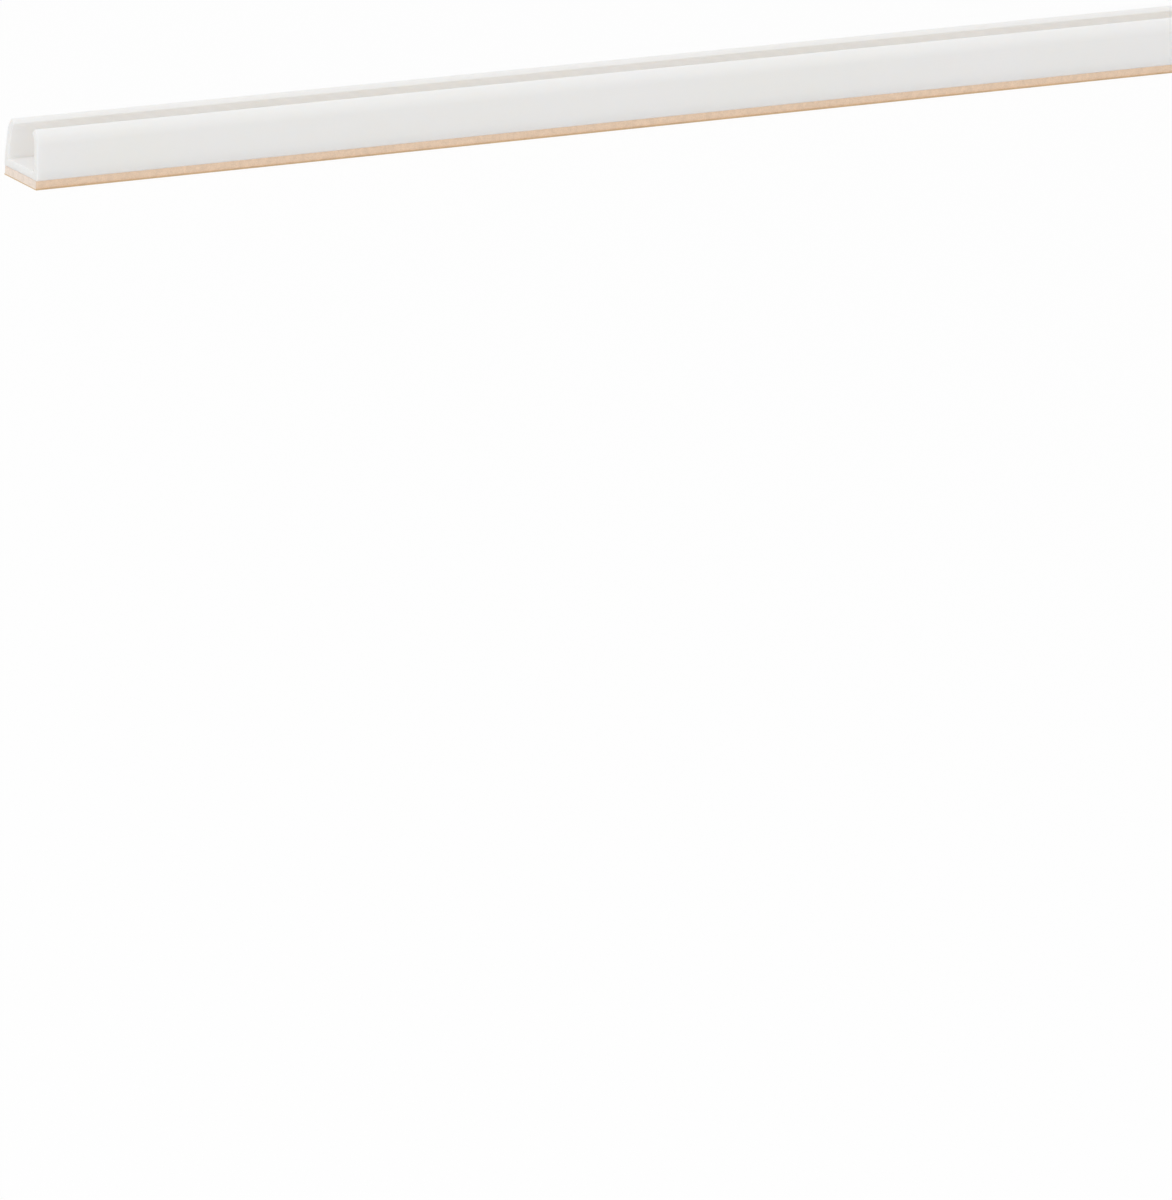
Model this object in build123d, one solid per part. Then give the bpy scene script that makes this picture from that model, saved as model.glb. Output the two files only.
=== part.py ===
from build123d import *
import math
import os

# A straight length of open-topped, stick-on cord channel, in millimetres.
# X runs along the stock, Y across it and Z up. The origin is on the floor, under the middle of the stock.

# Stock as it is sold
stock_length = 400.0

# Extruded section, with heights from its underside and insets from the edges of its base
base_width = 12.7
base_thickness = 1.6
wall_thickness = 1.4
shoulder_height = 7.0
shoulder_inset = 0.45
curl_radius = 4.5
lip_reach = 2.95

# Rounded corners of the section
base_corner_radius = 0.4
heel_radius = 5.0
lip_radius = 0.35
slot_edge_radius = 0.25
floor_corner_radius = 0.3

# A rounded corner takes up at most this share of the shorter side beside it
corner_share = 0.45

# Foam tape under the base, and the liner that covers its lower adhesive
tape_thickness = 1.6
tape_inset = 0.35
liner_thickness = 0.2
liner_edge = 0.15

tape_width = base_width - 2 * tape_inset
liner_width = tape_width + 2 * liner_edge
tape_bottom = liner_thickness
channel_bottom = tape_bottom + tape_thickness


def fitted(radius, before, corner, after):
    """A corner's radius, or the largest one that the two sides beside it leave room for."""
    turn = (corner - before).get_angle(after - corner)
    room = corner_share * min((corner - before).length, (after - corner).length)
    return min(radius, room / math.tan(math.radians(turn / 2)))


def channel_section():
    """The section: a flat base, and walls that curl in above their shoulders and end square at a slot."""
    # Outer face of the right-hand wall, from the middle of the underside to the shoulder
    base_middle = Vector(0, channel_bottom)
    foot = Vector(base_width / 2, channel_bottom)
    heel = foot + Vector(0, base_thickness)
    shoulder = foot + Vector(-shoulder_inset, shoulder_height)
    outer_wall = FilletPolyline(
        base_middle,
        foot,
        heel,
        shoulder,
        radius=(
            fitted(base_corner_radius, base_middle, foot, heel),
            fitted(heel_radius, foot, heel, shoulder),
        ),
    )

    # The curl leaves the wall without a crease, and its end is cut square, so the lips lead in to the slot
    rise = (shoulder - heel).normalized()
    inward = Vector(-rise.Y, rise.X)
    curl_centre = shoulder + inward * curl_radius
    inner_radius = curl_radius - wall_thickness
    slot_side = foot.X - lip_reach
    lip_rise = math.sqrt(inner_radius**2 - (slot_side - curl_centre.X) ** 2)
    slot_edge = Vector(slot_side, curl_centre.Y + lip_rise)
    crown = curl_centre + (slot_edge - curl_centre).normalized() * curl_radius
    outer_curl = TangentArc(shoulder, crown, tangent=rise)
    lip_face = Line(crown, slot_edge)

    # The inner face lies one wall thickness further in, down to the floor
    inner_shoulder = shoulder + inward * wall_thickness
    inner_curl = TangentArc(inner_shoulder, slot_edge, tangent=rise)
    lean = shoulder_inset / (shoulder.Y - heel.Y)
    floor_corner = Vector(inner_shoulder.X + lean * (inner_shoulder.Y - heel.Y), heel.Y)
    floor_middle = Vector(0, heel.Y)
    inner_wall = FilletPolyline(
        inner_shoulder,
        floor_corner,
        floor_middle,
        radius=fitted(floor_corner_radius, inner_shoulder, floor_corner, floor_middle),
    )

    half = Curve() + [outer_wall, outer_curl, lip_face, inner_curl, inner_wall]
    section = make_face(half + mirror(half, Plane.YZ))
    for corner, radius in ((crown, lip_radius), (slot_edge, slot_edge_radius)):
        both_lips = [v for v in section.vertices() if math.isclose(v.Y, corner.Y, abs_tol=1e-6)]
        section = fillet(both_lips, radius)
    return section


def strip_section(width, bottom, thickness):
    """A flat strip's section, standing on the height of its lower face."""
    return Pos(0, bottom + thickness / 2) * Rectangle(width, thickness)


def drawn_along_stock(section):
    """A solid of one constant section over the whole stock, cut square at both ends."""
    return extrude(Plane.YZ * section, stock_length / 2, both=True)


pieces = {
    "channel": channel_section(),
    "foam_tape": strip_section(tape_width, tape_bottom, tape_thickness),
    "release_liner": strip_section(liner_width, 0, liner_thickness),
}

os.makedirs("parts", exist_ok=True)
for name, section in pieces.items():
    export_step(drawn_along_stock(section), f"parts/{name}.step")
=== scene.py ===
"""A length of stick-on cord channel: its extrusion, foam tape and liner, on a white studio stage."""

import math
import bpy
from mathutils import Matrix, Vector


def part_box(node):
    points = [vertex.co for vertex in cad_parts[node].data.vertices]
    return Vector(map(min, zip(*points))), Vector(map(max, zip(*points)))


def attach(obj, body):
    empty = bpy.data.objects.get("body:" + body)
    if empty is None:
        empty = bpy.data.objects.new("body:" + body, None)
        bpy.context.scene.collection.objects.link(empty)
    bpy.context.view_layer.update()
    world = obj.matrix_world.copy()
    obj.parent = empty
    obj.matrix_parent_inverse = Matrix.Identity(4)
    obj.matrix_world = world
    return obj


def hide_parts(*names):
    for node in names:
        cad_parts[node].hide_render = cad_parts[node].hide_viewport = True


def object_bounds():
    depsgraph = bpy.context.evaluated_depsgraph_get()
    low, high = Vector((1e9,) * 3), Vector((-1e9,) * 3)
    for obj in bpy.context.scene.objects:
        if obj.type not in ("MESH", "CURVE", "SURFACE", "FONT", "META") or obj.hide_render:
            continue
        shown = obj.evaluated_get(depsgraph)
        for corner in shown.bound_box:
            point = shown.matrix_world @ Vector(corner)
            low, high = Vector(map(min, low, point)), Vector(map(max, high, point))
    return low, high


bl_info = {
    "name": "Cord Channel",
    "version": (1, 0, 0),
    "blender": (4, 5, 0),
    "location": "View3D > Sidebar > Cord Channel",
    "description": "Makes stick-on cord channel with its foam tape and liner, and a studio stage",
    "category": "Add Mesh",
}

from typing import NamedTuple

import bmesh
import bpy
from bpy.props import FloatProperty, FloatVectorProperty, IntProperty, PointerProperty
from mathutils import Matrix, Vector, noise

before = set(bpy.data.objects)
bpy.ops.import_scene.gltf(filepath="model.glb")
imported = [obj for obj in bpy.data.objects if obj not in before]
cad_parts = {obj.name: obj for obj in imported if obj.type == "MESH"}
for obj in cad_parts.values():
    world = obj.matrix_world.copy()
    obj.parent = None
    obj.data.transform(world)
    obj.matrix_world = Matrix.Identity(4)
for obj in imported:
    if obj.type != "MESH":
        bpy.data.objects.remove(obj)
cad_low, cad_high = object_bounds()
CHANNEL_LOW, CHANNEL_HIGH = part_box("channel")
TAPE_LOW, TAPE_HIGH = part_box("foam_tape")
LINER_LOW, LINER_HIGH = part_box("release_liner")

MILLIMETRE = 0.001
WHITE = (1.0, 1.0, 1.0)

# The picture's frame in pixels, the camera's sensor in millimetres, and half the floor's side in metres
PHOTO_WIDTH = 1172
PHOTO_HEIGHT = 1200
SENSOR = 36.0
FLOOR_HALF = 12.0

# Fineness of the meshes
ARC_STEP = math.radians(7)
SHARP_ANGLE = math.radians(32)
STATION_STEP = 4 * MILLIMETRE
PORE_STEP = 0.5 * MILLIMETRE
TAPE_ROWS = 7

# Cells in the tape's edges per metre, and how sharply the edges draw in at the tape's two faces
PORES_PER_METRE = 1900.0
PINCH_POWER = 6

# Slow and quick waves of a slit edge per metre, and the slow ones' share
SLOW_WAVES = 22.0
QUICK_WAVES = 140.0
SLOW_SHARE = 0.7

# Offsets that read the noise in different places, so that no two edges are alike
SLOW_SIDES = 7.3
QUICK_SIDES = 3.1
QUICK_SEED = 5.0
PORE_SIDES = 0.5
TAPE_SEED = 1.0
LINER_SEED = 11.0


class Finish(NamedTuple):
    """A surface's clouds per metre and their contrast, its limits of roughness and its depth of relief."""

    clouds: float
    contrast: float
    roughness: tuple
    relief: float


SATIN_PVC = Finish(clouds=45.0, contrast=0.02, roughness=(0.5, 0.6), relief=0.02 * MILLIMETRE)
SAWN_PVC = Finish(clouds=900.0, contrast=0.05, roughness=(0.6, 0.8), relief=0.04 * MILLIMETRE)
PEACH_FOAM = Finish(clouds=700.0, contrast=0.12, roughness=(0.85, 0.95), relief=0.08 * MILLIMETRE)
WAXED_PAPER = Finish(clouds=260.0, contrast=0.14, roughness=(0.42, 0.58), relief=0.03 * MILLIMETRE)

# Spacing of a finish's lines along the stock, across it and up, and the slant of the saw lines
DIE_LINES = Vector((250.0, 0.6, 0.6)) * MILLIMETRE
SAW_LINES = Vector((10.0, 12.0, 0.22)) * MILLIMETRE
PAPER_FIBRES = Vector((4.0, 0.3, 0.3)) * MILLIMETRE
SAW_SLANT = math.radians(24)

# Cells in the foam's finish per metre, how far painted shade darkens the cells' pits and lightens their
# rims, and how far fibres darken and lighten a colour
FOAM_CELLS = 4200.0
PIT_SHADE_TONES = (0.9, 1.04)
FIBRE_TONES = (0.82, 1.12)

# Gloss of PVC and foam, and how far red, green and blue light spread in PVC as shares of its glow
SPECULAR = 0.3
GLOW_SHARES = (1.0, 0.95, 0.9)

# Noise behind the shared clouds and lines, and the part of it that the clouds show
CLOUD_DETAIL = 3.0
CLOUD_ROUGHNESS = 0.55
CLOUD_LIMITS = (0.3, 0.7)
CLOUD_MIDDLE = 0.5
LINE_DETAIL = 2.0
LINE_ROUGHNESS = 0.6


# Sizes and colours that a user would change

def length_property(name, description, default):
    """A length in millimetres, kept in metres."""
    return FloatProperty(
        name=name,
        description=description,
        default=default * MILLIMETRE,
        min=0.0,
        unit="LENGTH",
        precision=5,
    )


def span_property(name, description, default):
    """A length in metres."""
    return FloatProperty(name=name, description=description, default=default, min=0.01, unit="LENGTH")


def angle_property(name, description, default):
    """An angle in degrees, kept in radians."""
    return FloatProperty(
        name=name,
        description=description,
        default=math.radians(default),
        subtype="ANGLE",
    )


def power_property(name, description, default):
    """A lamp's power in watts."""
    return FloatProperty(name=name, description=description, default=default, min=0.0, unit="POWER")


def place_property(name, description, default):
    """A place in the studio, in metres."""
    return FloatVectorProperty(
        name=name,
        description=description,
        default=default,
        size=3,
        subtype="TRANSLATION",
    )


def colour_property(name, description, default):
    """A linear colour."""
    return FloatVectorProperty(
        name=name,
        description=description,
        default=default,
        min=0.0,
        max=1.0,
        size=3,
        subtype="COLOR",
    )


class ChannelSettings(bpy.types.PropertyGroup):
    """The extruded channel."""

    base_thickness: length_property("Base", "Thickness of the flat base", 1.6)
    wall_thickness: length_property("Wall", "Thickness of each wall", 1.4)
    shoulder_height: length_property("Shoulder height", "Height at which a wall starts to curl in", 7.0)
    shoulder_inset: length_property("Shoulder inset", "How far a wall leans in up to its shoulder", 0.45)
    curl_radius: length_property("Curl", "Outer radius at which a wall curls in", 4.5)
    lip_reach: length_property("Lip reach", "From the base's edge in to the slot", 2.95)
    base_corner: length_property("Base corner", "Radius of the base's lower edges", 0.4)
    heel_radius: length_property("Heel", "Radius between the base's edge and the wall", 5.0)
    lip_radius: length_property("Lip", "Radius of each lip's upper edge", 0.35)
    slot_edge: length_property("Slot edge", "Radius of each lip's lower edge", 0.25)
    floor_corner: length_property("Floor corner", "Radius between the floor and the walls", 0.3)
    cut_edge: length_property("Cut edge", "Width of the broken edge round a sawn end", 0.07)
    glow: length_property("Glow", "How far light spreads inside the PVC", 1.0)
    cut_glow: length_property("Cut glow", "How far light spreads under the sawn ends", 0.5)
    colour: colour_property("PVC", "Colour of the white PVC", (0.945, 0.928, 0.908))
    cut_colour: colour_property("Cut PVC", "Colour of the sawn ends", (0.92, 0.915, 0.895))


class TapeSettings(bpy.types.PropertyGroup):
    """The foam tape."""

    pore_depth: length_property("Pores", "Depth of the cells cut open along the edges", 0.05)
    wander: length_property("Wander", "How far the slit edges wander from straight", 0.06)
    colour: colour_property("Foam", "Colour of the foam", (0.975, 0.755, 0.57))
    # Lighter and paler than the foam: partly the fresh cut, partly painted light on the cut ends
    cut_colour: colour_property("Cut foam", "Colour of the cut ends", (0.95, 0.83, 0.73))


class LinerSettings(bpy.types.PropertyGroup):
    """The release liner."""

    wander: length_property("Wander", "How far the slit edges wander from straight", 0.04)
    colour: colour_property("Liner", "Colour of the release paper", (0.72, 0.52, 0.3))


class StageSettings(bpy.types.PropertyGroup):
    """Floor, light and camera."""

    azimuth: angle_property("Azimuth", "Direction of the camera, turned from across the stock", -35.55)
    elevation: angle_property("Elevation", "How far the camera looks down", 18.18)
    roll: angle_property("Roll", "Turn of the camera about its own line of sight", 4.45)
    lens: FloatProperty(
        name="Lens",
        description="Focal length of the camera",
        default=239.4,
        min=1.0,
        unit="CAMERA",
    )
    distance: span_property("Distance", "From the camera to the left end's near lower corner", 1.552)
    corner_pixel: FloatVectorProperty(
        name="Corner pixel",
        description="Where the left end's near lower corner falls in the picture",
        default=(36.2, 190.6),
        size=2,
        subtype="COORDINATES",
    )
    floor_colour: colour_property("Floor", "Colour of the floor as the camera sees it", WHITE)
    bounce_colour: colour_property("Bounce", "Colour of the light off the floor", (0.84, 0.84, 0.84))
    shadow: FloatProperty(
        name="Shadow",
        description="How strongly shadows show on the floor",
        default=0.12,
        min=0.0,
        max=1.0,
        subtype="FACTOR",
    )
    sky: FloatProperty(
        name="Sky",
        description="Strength of the even light from all round",
        default=0.7,
        min=0.0,
    )
    bounces: IntProperty(
        name="Bounces",
        description="How many times light is passed on between the channel's white walls",
        default=12,
        min=0,
    )
    key_power: power_property("Key", "Power of the softbox above the left end", 29.0)
    key_size: span_property("Key size", "Side of the softbox above the left end", 1.6)
    key_place: place_property("Key place", "Place of the softbox above the left end", (-2.7, -0.1, 2.34))
    fill_power: power_property("Fill", "Power of the softbox in front", 12.8)
    fill_size: span_property("Fill size", "Side of the softbox in front", 2.4)
    fill_place: place_property("Fill place", "Place of the softbox in front", (0.36, -3.06, 1.8))


class CordChannelSettings(bpy.types.PropertyGroup):
    """Everything that the operators read."""

    channel: PointerProperty(type=ChannelSettings, name="Channel", description="The extruded channel")
    tape: PointerProperty(type=TapeSettings, name="Tape", description="The foam tape")
    liner: PointerProperty(type=LinerSettings, name="Liner", description="The release liner")
    stage: PointerProperty(type=StageSettings, name="Stage", description="Floor, light and camera")


# Outlines, as points across the stock and up

def arc(centre, start, end, leftward):
    """Points of the arc about a centre from start to end, turning left or right."""
    from_centre = start - centre
    to_centre = end - centre
    first = math.atan2(from_centre.y, from_centre.x)
    last = math.atan2(to_centre.y, to_centre.x)
    sweep = (last - first) % math.tau if leftward else -((first - last) % math.tau)
    steps = max(2, math.ceil(abs(sweep) / ARC_STEP))
    angles = [first + sweep * i / steps for i in range(steps + 1)]
    return [centre + from_centre.length * Vector((math.cos(a), math.sin(a))) for a in angles]


def rounded(before, corner, after, radius):
    """Points of the arc that rounds one corner of an outline."""
    back = (before - corner).normalized()
    onward = (after - corner).normalized()
    half_angle = back.angle(onward) / 2
    run = radius / math.tan(half_angle)
    centre = corner + (back + onward).normalized() * (radius / math.sin(half_angle))
    leftward = (corner - before).cross(after - corner) > 0
    return arc(centre, corner + back * run, corner + onward * run, leftward)


def channel_outline(sizes):
    """The extrusion's section, anticlockwise from the middle of its underside."""
    base_middle = Vector((0.0, CHANNEL_LOW.z))
    foot = Vector((CHANNEL_HIGH.y, CHANNEL_LOW.z))
    heel = foot + Vector((0.0, sizes.base_thickness))
    shoulder = foot + Vector((-sizes.shoulder_inset, sizes.shoulder_height))

    # The curl leaves the wall without a crease, and its end is cut square
    rise = (shoulder - heel).normalized()
    inward = Vector((-rise.y, rise.x))
    curl_centre = shoulder + inward * sizes.curl_radius
    inner_radius = sizes.curl_radius - sizes.wall_thickness
    across = foot.x - sizes.lip_reach - curl_centre.x
    to_slot = Vector((across, math.sqrt(inner_radius**2 - across**2)))
    slot_edge = curl_centre + to_slot
    crown = curl_centre + to_slot.normalized() * sizes.curl_radius
    outer_curl = arc(curl_centre, shoulder, crown, leftward=True)

    # The inner face lies one wall thickness further in, down to the floor
    inner_shoulder = shoulder + inward * sizes.wall_thickness
    inner_curl = arc(curl_centre, slot_edge, inner_shoulder, leftward=False)
    floor_corner = inner_shoulder - rise * ((inner_shoulder.y - heel.y) / rise.y)
    floor_middle = Vector((0.0, floor_corner.y))

    half = [base_middle]
    half += rounded(base_middle, foot, heel, sizes.base_corner)
    half += rounded(foot, heel, shoulder, sizes.heel_radius)
    half += outer_curl[:-1]
    half += rounded(outer_curl[-2], crown, slot_edge, sizes.lip_radius)
    half += rounded(crown, slot_edge, inner_curl[1], sizes.slot_edge)
    half += inner_curl[1:]
    half += rounded(inner_shoulder, floor_corner, floor_middle, sizes.floor_corner)
    half += [floor_middle]
    other_half = [Vector((-p.x, p.y)) for p in reversed(half[1:-1])]
    return half + other_half


def drawn_in(outline, amount):
    """The outline moved inwards by an equal amount all round."""
    moved = []
    for i, point in enumerate(outline):
        along = (outline[(i + 1) % len(outline)] - outline[i - 1]).normalized()
        moved.append(point + Vector((-along.y, along.x)) * amount)
    return moved


def slit_edge(x, side, wander, seed):
    """How far a slit edge has wandered from straight at a place along the stock."""
    slow = noise.noise(Vector((x * SLOW_WAVES, side * SLOW_SIDES, seed)))
    quick = noise.noise(Vector((x * QUICK_WAVES, side * QUICK_SIDES, seed + QUICK_SEED)))
    return wander * (SLOW_SHARE * slow + (1 - SLOW_SHARE) * quick)


# Meshes

def stations(low, high, step):
    """Evenly spaced places along the stock, both ends included."""
    count = round((high - low) / step)
    return [low + (high - low) * i / count for i in range(count + 1)]


def ring(x, outline):
    """An outline's points at one place along the stock."""
    return [(x, *point) for point in outline]


def loft(name, rings):
    """A closed mesh through rings of equally many points, with its first and last ring as flat ends."""
    shape = bmesh.new()
    rows = [[shape.verts.new(point) for point in points] for points in rings]
    for row, next_row in zip(rows, rows[1:]):
        for i in range(len(row)):
            j = (i + 1) % len(row)
            shape.faces.new((row[i], row[j], next_row[j], next_row[i]))
    ends = [shape.faces.new(rows[0][::-1]), shape.faces.new(rows[-1])]
    for face in shape.faces:
        face.smooth = True
    for face in ends:
        face.material_index = 1
    shape.normal_update()
    bmesh.ops.triangulate(shape, faces=ends, ngon_method="EAR_CLIP")
    mesh = bpy.data.meshes.new(name)
    shape.to_mesh(mesh)
    shape.free()
    mesh.set_sharp_from_angle(angle=SHARP_ANGLE)
    return mesh


def add_piece(mesh, node, materials):
    """Puts a finished mesh, with materials for its sides and its ends, in the place of its CAD node."""
    piece = bpy.data.objects.new(mesh.name, mesh)
    bpy.context.scene.collection.objects.link(piece)
    for material in materials:
        mesh.materials.append(material)
    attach(piece, "root")
    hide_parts(node)
    return piece


# Shader nodes

def add_node(tree, kind, inputs=None, **settings):
    """A node with its settings and inputs; an input that is given a socket is linked to it."""
    made = tree.nodes.new(kind)
    for name, value in settings.items():
        setattr(made, name, value)
    for name, value in (inputs or {}).items():
        if isinstance(value, bpy.types.NodeSocket):
            tree.links.new(value, made.inputs[name])
        else:
            made.inputs[name].default_value = value
    return made


def new_group(name, inputs, outputs):
    """An empty shader node group with named sockets, and its input and output nodes."""
    group = bpy.data.node_groups.new(name, "ShaderNodeTree")
    for direction, sockets in (("INPUT", inputs), ("OUTPUT", outputs)):
        for socket, kind in sockets.items():
            group.interface.new_socket(socket, in_out=direction, socket_type=kind)
    return group, group.nodes.new("NodeGroupInput"), group.nodes.new("NodeGroupOutput")


def mottled_tint_group():
    """Cloudy lightening and darkening of a colour, with the clouds as a mask."""
    group, given, result = new_group(
        "mottled_tint",
        {
            "Vector": "NodeSocketVector",
            "Colour": "NodeSocketColor",
            "Scale": "NodeSocketFloat",
            "Amount": "NodeSocketFloat",
        },
        {"Colour": "NodeSocketColor", "Mask": "NodeSocketFloat"},
    )
    clouds = add_node(
        group,
        "ShaderNodeTexNoise",
        {
            "Vector": given.outputs["Vector"],
            "Scale": given.outputs["Scale"],
            "Detail": CLOUD_DETAIL,
            "Roughness": CLOUD_ROUGHNESS,
        },
    )
    lowest, highest = CLOUD_LIMITS
    mask = add_node(
        group,
        "ShaderNodeMapRange",
        {"Value": clouds.outputs["Fac"], "From Min": lowest, "From Max": highest},
    )
    centred = add_node(
        group,
        "ShaderNodeMath",
        {0: mask.outputs["Result"], 1: CLOUD_MIDDLE},
        operation="SUBTRACT",
    )
    gain = add_node(
        group,
        "ShaderNodeMath",
        {0: centred.outputs[0], 1: given.outputs["Amount"], 2: 1.0},
        operation="MULTIPLY_ADD",
    )
    tint = add_node(
        group,
        "ShaderNodeVectorMath",
        {0: given.outputs["Colour"], "Scale": gain.outputs[0]},
        operation="SCALE",
    )
    group.links.new(tint.outputs["Vector"], result.inputs["Colour"])
    group.links.new(mask.outputs["Result"], result.inputs["Mask"])
    return group


def drawn_lines_group():
    """Fine lines that a die, a saw or a paper machine leaves, drawn out along its direction."""
    group, given, result = new_group(
        "drawn_lines",
        {"Vector": "NodeSocketVector", "Spacing": "NodeSocketVector"},
        {"Height": "NodeSocketFloat"},
    )
    stretched = add_node(
        group,
        "ShaderNodeVectorMath",
        {0: given.outputs["Vector"], 1: given.outputs["Spacing"]},
        operation="DIVIDE",
    )
    lines = add_node(
        group,
        "ShaderNodeTexNoise",
        {
            "Vector": stretched.outputs["Vector"],
            "Scale": 1.0,
            "Detail": LINE_DETAIL,
            "Roughness": LINE_ROUGHNESS,
        },
    )
    group.links.new(lines.outputs["Fac"], result.inputs["Height"])
    return group


SHARED_EFFECTS = {"mottled_tint": mottled_tint_group, "drawn_lines": drawn_lines_group}


def use_group(tree, name, inputs):
    """Places a shared effect, which is made once, in a material with its own values."""
    group = bpy.data.node_groups.get(name) or SHARED_EFFECTS[name]()
    return add_node(tree, "ShaderNodeGroup", inputs, node_tree=group)


# Steps that the materials share

def new_material(name):
    """A material with only a Principled shader, and the object coordinates that its textures use."""
    material = bpy.data.materials.new(name)
    material.use_nodes = True
    tree = material.node_tree
    shader = tree.nodes["Principled BSDF"]
    place = tree.nodes.new("ShaderNodeTexCoord").outputs["Object"]
    return material, tree, shader, place


def opaque(colour):
    """A colour socket's four values."""
    return (*colour, 1.0)


def clouded(tree, place, colour, look):
    """A colour with a finish's clouds over it, and the clouds' mask."""
    clouds = use_group(
        tree,
        "mottled_tint",
        {"Vector": place, "Colour": opaque(colour), "Scale": look.clouds, "Amount": look.contrast},
    )
    return clouds.outputs["Colour"], clouds.outputs["Mask"]


def lined(tree, place, spacing):
    """The height of lines that are drawn out by their spacing."""
    return use_group(tree, "drawn_lines", {"Vector": place, "Spacing": spacing}).outputs["Height"]


def varied(tree, mask, limits):
    """A value that follows a mask between two limits."""
    low, high = limits
    spread = add_node(tree, "ShaderNodeMapRange", {"Value": mask, "To Min": low, "To Max": high})
    return spread.outputs["Result"]


def toned(tree, colour, mask, tones):
    """A colour that is darkened and lightened as a mask says."""
    tone = varied(tree, mask, tones)
    scaled = add_node(tree, "ShaderNodeVectorMath", {0: colour, "Scale": tone}, operation="SCALE")
    return scaled.outputs["Vector"]


def translucent(shader, spread):
    """Lets light soak into the plastic and come out again about as far away as it spreads."""
    shader.inputs["Subsurface Weight"].default_value = 1.0
    shader.inputs["Subsurface Radius"].default_value = GLOW_SHARES
    shader.inputs["Subsurface Scale"].default_value = spread


def link_surface(tree, shader, colour, roughness, height, relief):
    """Links a surface's colour and roughness, and its height as bump of the given depth."""
    tree.links.new(colour, shader.inputs["Base Color"])
    tree.links.new(roughness, shader.inputs["Roughness"])
    bump = add_node(tree, "ShaderNodeBump", {"Height": height, "Distance": relief, "Strength": 1.0})
    tree.links.new(bump.outputs["Normal"], shader.inputs["Normal"])


# Materials

def pvc_skin(settings):
    """Satin extruded PVC: faint clouds in the white and fine die lines along the stock."""
    material, tree, shader, place = new_material("pvc_skin")
    colour, clouds = clouded(tree, place, settings.colour, SATIN_PVC)
    lines = lined(tree, place, DIE_LINES)
    roughness = varied(tree, clouds, SATIN_PVC.roughness)
    shader.inputs["Specular IOR Level"].default_value = SPECULAR
    translucent(shader, settings.glow)
    link_surface(tree, shader, colour, roughness, lines, SATIN_PVC.relief)
    return material


def pvc_cut(settings):
    """Sawn PVC: a little rougher and less warm, with fine saw lines across the end."""
    material, tree, shader, place = new_material("pvc_cut")
    colour, _ = clouded(tree, place, settings.cut_colour, SAWN_PVC)
    slanted = add_node(tree, "ShaderNodeMapping", {"Vector": place, "Rotation": (SAW_SLANT, 0.0, 0.0)})
    lines = lined(tree, slanted.outputs["Vector"], SAW_LINES)
    roughness = varied(tree, lines, SAWN_PVC.roughness)
    shader.inputs["Specular IOR Level"].default_value = SPECULAR
    translucent(shader, settings.cut_glow)
    link_surface(tree, shader, colour, roughness, lines, SAWN_PVC.relief)
    return material


def foam(name, colour):
    """Closed-cell foam: matt, blotchy peach with small cells, and painted shade in the cells' pits."""
    material, tree, shader, place = new_material(name)
    blotchy, blotches = clouded(tree, place, colour, PEACH_FOAM)
    voronoi = add_node(
        tree,
        "ShaderNodeTexVoronoi",
        {"Vector": place, "Scale": FOAM_CELLS},
        feature="SMOOTH_F1",
    )
    cells = voronoi.outputs["Distance"]
    # Painted shade: the foam's colour is darkened in the cells' pits, where the bump is lowest, and
    # lightened on their rims
    pit_shaded = toned(tree, blotchy, cells, PIT_SHADE_TONES)
    roughness = varied(tree, blotches, PEACH_FOAM.roughness)
    shader.inputs["Specular IOR Level"].default_value = SPECULAR
    link_surface(tree, shader, pit_shaded, roughness, cells, PEACH_FOAM.relief)
    return material


def liner_paper(settings):
    """Waxed release paper: tan, with fibres along the web and a soft silicone sheen."""
    material, tree, shader, place = new_material("liner_paper")
    cloudy, clouds = clouded(tree, place, settings.colour, WAXED_PAPER)
    fibres = lined(tree, place, PAPER_FIBRES)
    streaked = toned(tree, cloudy, fibres, FIBRE_TONES)
    roughness = varied(tree, clouds, WAXED_PAPER.roughness)
    link_surface(tree, shader, streaked, roughness, fibres, WAXED_PAPER.relief)
    return material


# Stage materials

def camera_mask(tree):
    """One where the camera sees a surface straight, mirrored or through glass, and zero elsewhere."""
    rays = tree.nodes.new("ShaderNodeLightPath")
    mirrored = add_node(
        tree,
        "ShaderNodeMath",
        {0: rays.outputs["Is Camera Ray"], 1: rays.outputs["Is Glossy Ray"]},
        operation="MAXIMUM",
    )
    seen = add_node(
        tree,
        "ShaderNodeMath",
        {0: mirrored.outputs[0], 1: rays.outputs["Is Transmission Ray"]},
        operation="MAXIMUM",
    )
    return seen.outputs[0]


def white_floor(settings):
    """A floor that the camera sees as white and that keeps the object's soft shadow."""
    material = bpy.data.materials.new("white_floor")
    material.use_nodes = True
    tree = material.node_tree
    tree.nodes.clear()
    seen = camera_mask(tree)
    colour = add_node(
        tree,
        "ShaderNodeMix",
        {"Factor": seen, "A": opaque(settings.bounce_colour), "B": opaque(settings.floor_colour)},
        data_type="RGBA",
    )
    matt = add_node(tree, "ShaderNodeBsdfDiffuse", {"Color": colour.outputs["Result"]})
    white = add_node(tree, "ShaderNodeEmission", {"Color": opaque(WHITE), "Strength": 1.0})
    share = add_node(
        tree,
        "ShaderNodeMath",
        {0: seen, 1: 1.0 - settings.shadow},
        operation="MULTIPLY",
    )
    mixed = add_node(
        tree,
        "ShaderNodeMixShader",
        {0: share.outputs[0], 1: matt.outputs[0], 2: white.outputs[0]},
    )
    result = tree.nodes.new("ShaderNodeOutputMaterial")
    tree.links.new(mixed.outputs[0], result.inputs["Surface"])
    return material


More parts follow.
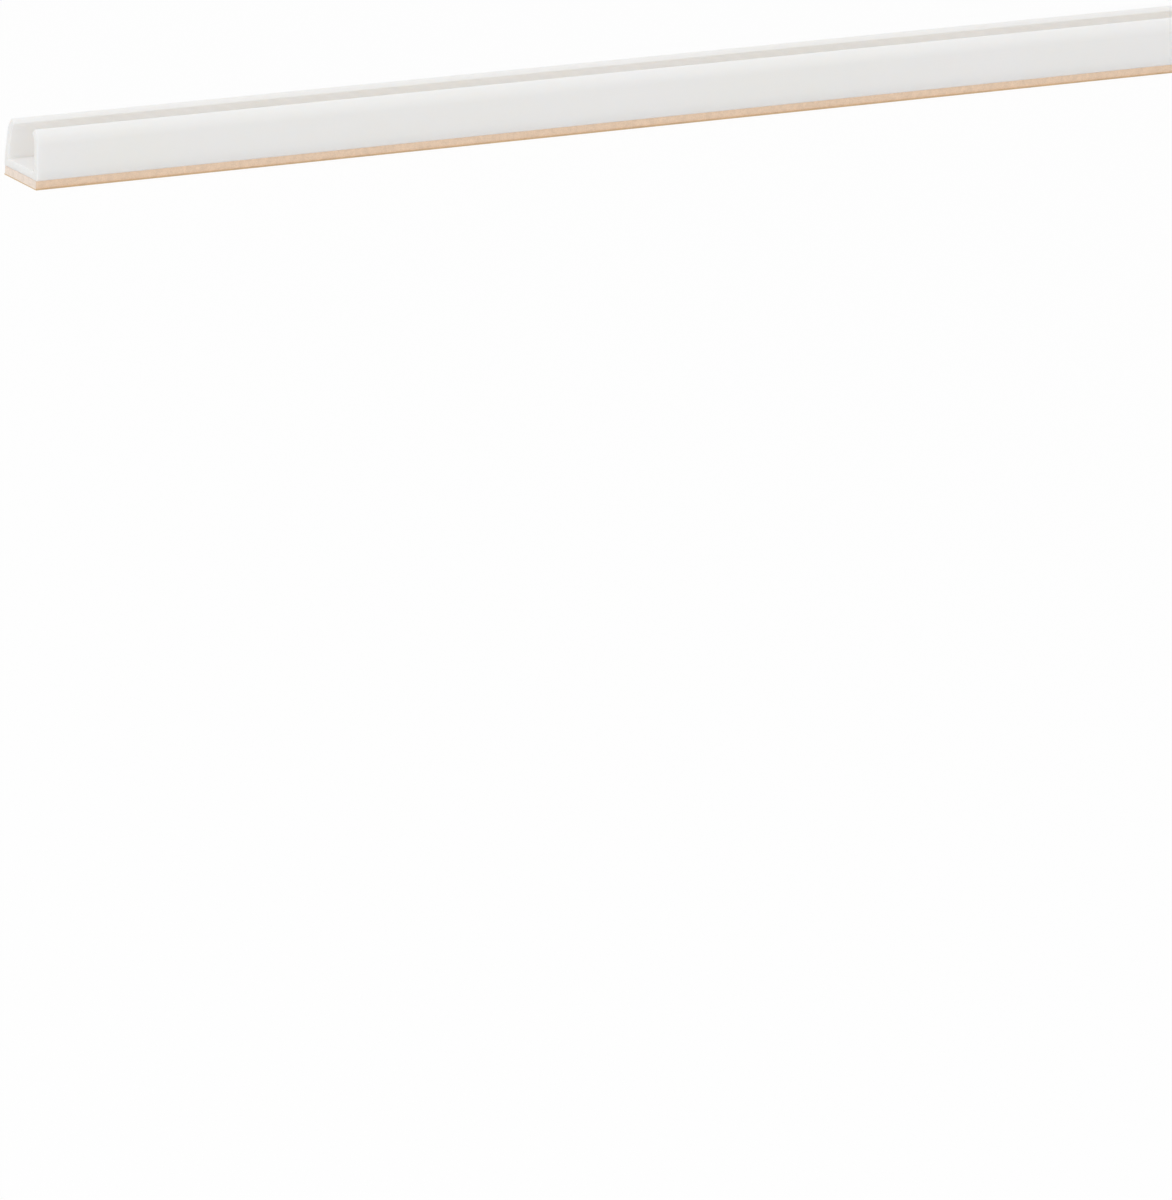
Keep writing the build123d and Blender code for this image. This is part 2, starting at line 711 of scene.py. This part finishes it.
def white_world(settings):
    """Even light from all round, seen by the camera as white."""
    world = bpy.data.worlds.new("white_studio")
    world.use_nodes = True
    tree = world.node_tree
    tree.nodes.clear()
    strength = varied(tree, camera_mask(tree), (settings.sky, 1.0))
    light = add_node(tree, "ShaderNodeBackground", {"Color": opaque(WHITE), "Strength": strength})
    result = tree.nodes.new("ShaderNodeOutputWorld")
    tree.links.new(light.outputs[0], result.inputs["Surface"])
    return world


# Operators

class CORDCHANNEL_OT_extrude(bpy.types.Operator):
    """Extrude the channel along the stock, with a broken edge round both sawn ends"""

    bl_idname = "cord_channel.extrude"
    bl_label = "Extrude channel"

    def execute(self, context):
        settings = context.scene.cord_channel.channel
        outline = channel_outline(settings)
        sawn_end = drawn_in(outline, settings.cut_edge)
        left, right = CHANNEL_LOW.x, CHANNEL_HIGH.x
        places = stations(left + settings.cut_edge, right - settings.cut_edge, STATION_STEP)
        rings = [ring(x, outline) for x in places]
        mesh = loft("channel_extrusion", [ring(left, sawn_end), *rings, ring(right, sawn_end)])
        add_piece(mesh, "channel", [pvc_skin(settings), pvc_cut(settings)])
        return {"FINISHED"}


class CORDCHANNEL_OT_tape(bpy.types.Operator):
    """Lay the foam tape under the base, with its cells cut open along both edges"""

    bl_idname = "cord_channel.tape"
    bl_label = "Lay foam tape"

    def execute(self, context):
        settings = context.scene.cord_channel.tape
        low, high = TAPE_LOW, TAPE_HIGH
        thickness = high.z - low.z
        levels = [low.z + thickness * i / (TAPE_ROWS - 1) for i in range(TAPE_ROWS)]

        def edge_point(x, z, side):
            place = Vector((x, side * PORE_SIDES, z)) * PORES_PER_METRE
            pore = settings.pore_depth * (1 + noise.noise(place)) / 2
            pinch = settings.pore_depth * abs(2 * (z - low.z) / thickness - 1) ** PINCH_POWER
            reach = high.y + slit_edge(x, side, settings.wander, TAPE_SEED) - settings.wander
            return side * (reach - pore - pinch), z

        rings = []
        for x in stations(low.x, high.x, PORE_STEP):
            far_edge = [edge_point(x, z, 1) for z in levels]
            near_edge = [edge_point(x, z, -1) for z in reversed(levels)]
            rings.append(ring(x, far_edge + near_edge))
        mesh = loft("foam_tape_strip", rings)
        # The cut ends get a lighter copy of the foam, partly fresh-cut foam and partly painted light
        materials = [foam("tape_foam", settings.colour), foam("tape_foam_cut_and_painted_light", settings.cut_colour)]
        piece = add_piece(mesh, "foam_tape", materials)
        return {"FINISHED"}


class CORDCHANNEL_OT_liner(bpy.types.Operator):
    """Lay the release liner under the tape, with slit edges that wander a little"""

    bl_idname = "cord_channel.liner"
    bl_label = "Lay release liner"

    def execute(self, context):
        settings = context.scene.cord_channel.liner
        low, high = LINER_LOW, LINER_HIGH
        rings = []
        for x in stations(low.x, high.x, STATION_STEP):
            far = high.y + slit_edge(x, 1, settings.wander, LINER_SEED) - settings.wander
            near = low.y + slit_edge(x, -1, settings.wander, LINER_SEED) + settings.wander
            rings.append(ring(x, [(far, low.z), (far, high.z), (near, high.z), (near, low.z)]))
        mesh = loft("liner_strip", rings)
        paper = liner_paper(settings)
        add_piece(mesh, "release_liner", [paper, paper])
        return {"FINISHED"}


class CORDCHANNEL_OT_stage(bpy.types.Operator):
    """Set the white floor, the soft light and the camera"""

    bl_idname = "cord_channel.stage"
    bl_label = "Set stage"

    def execute(self, context):
        scene = context.scene
        settings = scene.cord_channel.stage
        self.lay_floor(scene, settings)
        softboxes = (
            ("key_softbox", settings.key_power, settings.key_size, settings.key_place),
            ("fill_softbox", settings.fill_power, settings.fill_size, settings.fill_place),
        )
        for name, power, size, place in softboxes:
            self.hang_softbox(scene, name, power, size, place)
        self.aim_camera(scene, settings)
        scene.world = white_world(settings)
        scene.view_settings.view_transform = "Standard"
        scene.cycles.diffuse_bounces = settings.bounces
        return {"FINISHED"}

    def lay_floor(self, scene, settings):
        """Lays a wide square floor under the part."""
        signs = ((-1, -1), (1, -1), (1, 1), (-1, 1))
        corners = [(x * FLOOR_HALF, y * FLOOR_HALF, cad_low.z) for x, y in signs]
        mesh = bpy.data.meshes.new("studio_floor")
        mesh.from_pydata(corners, [], [(0, 1, 2, 3)])
        mesh.materials.append(white_floor(settings))
        floor = bpy.data.objects.new("studio_floor", mesh)
        scene.collection.objects.link(floor)

    def hang_softbox(self, scene, name, power, size, place):
        """Hangs a square lamp that faces the middle of the floor."""
        lamp = bpy.data.lights.new(name, "AREA")
        lamp.shape = "SQUARE"
        lamp.size = size
        lamp.energy = power
        softbox = bpy.data.objects.new(name, lamp)
        softbox.location = place
        softbox.rotation_euler = (-Vector(place)).to_track_quat("-Z", "Y").to_euler()
        scene.collection.objects.link(softbox)

    def aim_camera(self, scene, settings):
        """Places the camera so that the left end's near lower corner falls on its pixel."""
        data = bpy.data.cameras.new("portrait_camera")
        data.sensor_width = SENSOR
        data.lens = settings.lens
        camera = bpy.data.objects.new("portrait_camera", data)

        # Directions of the picture: into it, to its right and to its top
        upright = Vector((0.0, 0.0, 1.0))
        heading = Vector((-math.sin(settings.azimuth), math.cos(settings.azimuth), 0.0))
        forward = heading * math.cos(settings.elevation) - upright * math.sin(settings.elevation)
        right = Matrix.Rotation(-settings.roll, 3, forward) @ forward.cross(upright).normalized()
        up = right.cross(forward)

        # Line of sight through the corner's pixel
        focal = settings.lens * PHOTO_HEIGHT / SENSOR
        across = (settings.corner_pixel[0] - PHOTO_WIDTH / 2) / focal
        above = (PHOTO_HEIGHT / 2 - settings.corner_pixel[1]) / focal
        sight = (forward + right * across + up * above).normalized()

        turned = Matrix((right, up, -forward)).transposed().to_4x4()
        camera.matrix_world = Matrix.Translation(LINER_LOW - sight * settings.distance) @ turned
        scene.collection.objects.link(camera)
        scene.camera = camera


class CORDCHANNEL_PT_sidebar(bpy.types.Panel):
    """Lists the channel's pieces and the stage, with their settings"""

    bl_idname = "CORDCHANNEL_PT_sidebar"
    bl_label = "Cord Channel"
    bl_space_type = "VIEW_3D"
    bl_region_type = "UI"
    bl_category = "Cord Channel"

    def draw(self, context):
        settings = context.scene.cord_channel
        sections = (
            (CORDCHANNEL_OT_extrude, settings.channel),
            (CORDCHANNEL_OT_tape, settings.tape),
            (CORDCHANNEL_OT_liner, settings.liner),
            (CORDCHANNEL_OT_stage, settings.stage),
        )
        for operator, group in sections:
            box = self.layout.box()
            box.operator(operator.bl_idname)
            for name in group.__annotations__:
                box.prop(group, name)


CLASSES = (
    ChannelSettings,
    TapeSettings,
    LinerSettings,
    StageSettings,
    CordChannelSettings,
    CORDCHANNEL_OT_extrude,
    CORDCHANNEL_OT_tape,
    CORDCHANNEL_OT_liner,
    CORDCHANNEL_OT_stage,
    CORDCHANNEL_PT_sidebar,
)


def register():
    """Adds the classes to Blender, and their settings to each scene."""
    for cls in CLASSES:
        bpy.utils.register_class(cls)
    bpy.types.Scene.cord_channel = PointerProperty(
        type=CordChannelSettings,
        name="Cord channel",
        description="Sizes, colours and stage of the cord channel",
    )


def unregister():
    """Takes the settings and the classes out again."""
    del bpy.types.Scene.cord_channel
    for cls in reversed(CLASSES):
        bpy.utils.unregister_class(cls)


def main():
    """Makes every piece and the stage."""
    register()
    bpy.ops.cord_channel.extrude()
    bpy.ops.cord_channel.tape()
    bpy.ops.cord_channel.liner()
    bpy.ops.cord_channel.stage()


if __name__ == "__main__":
    main()
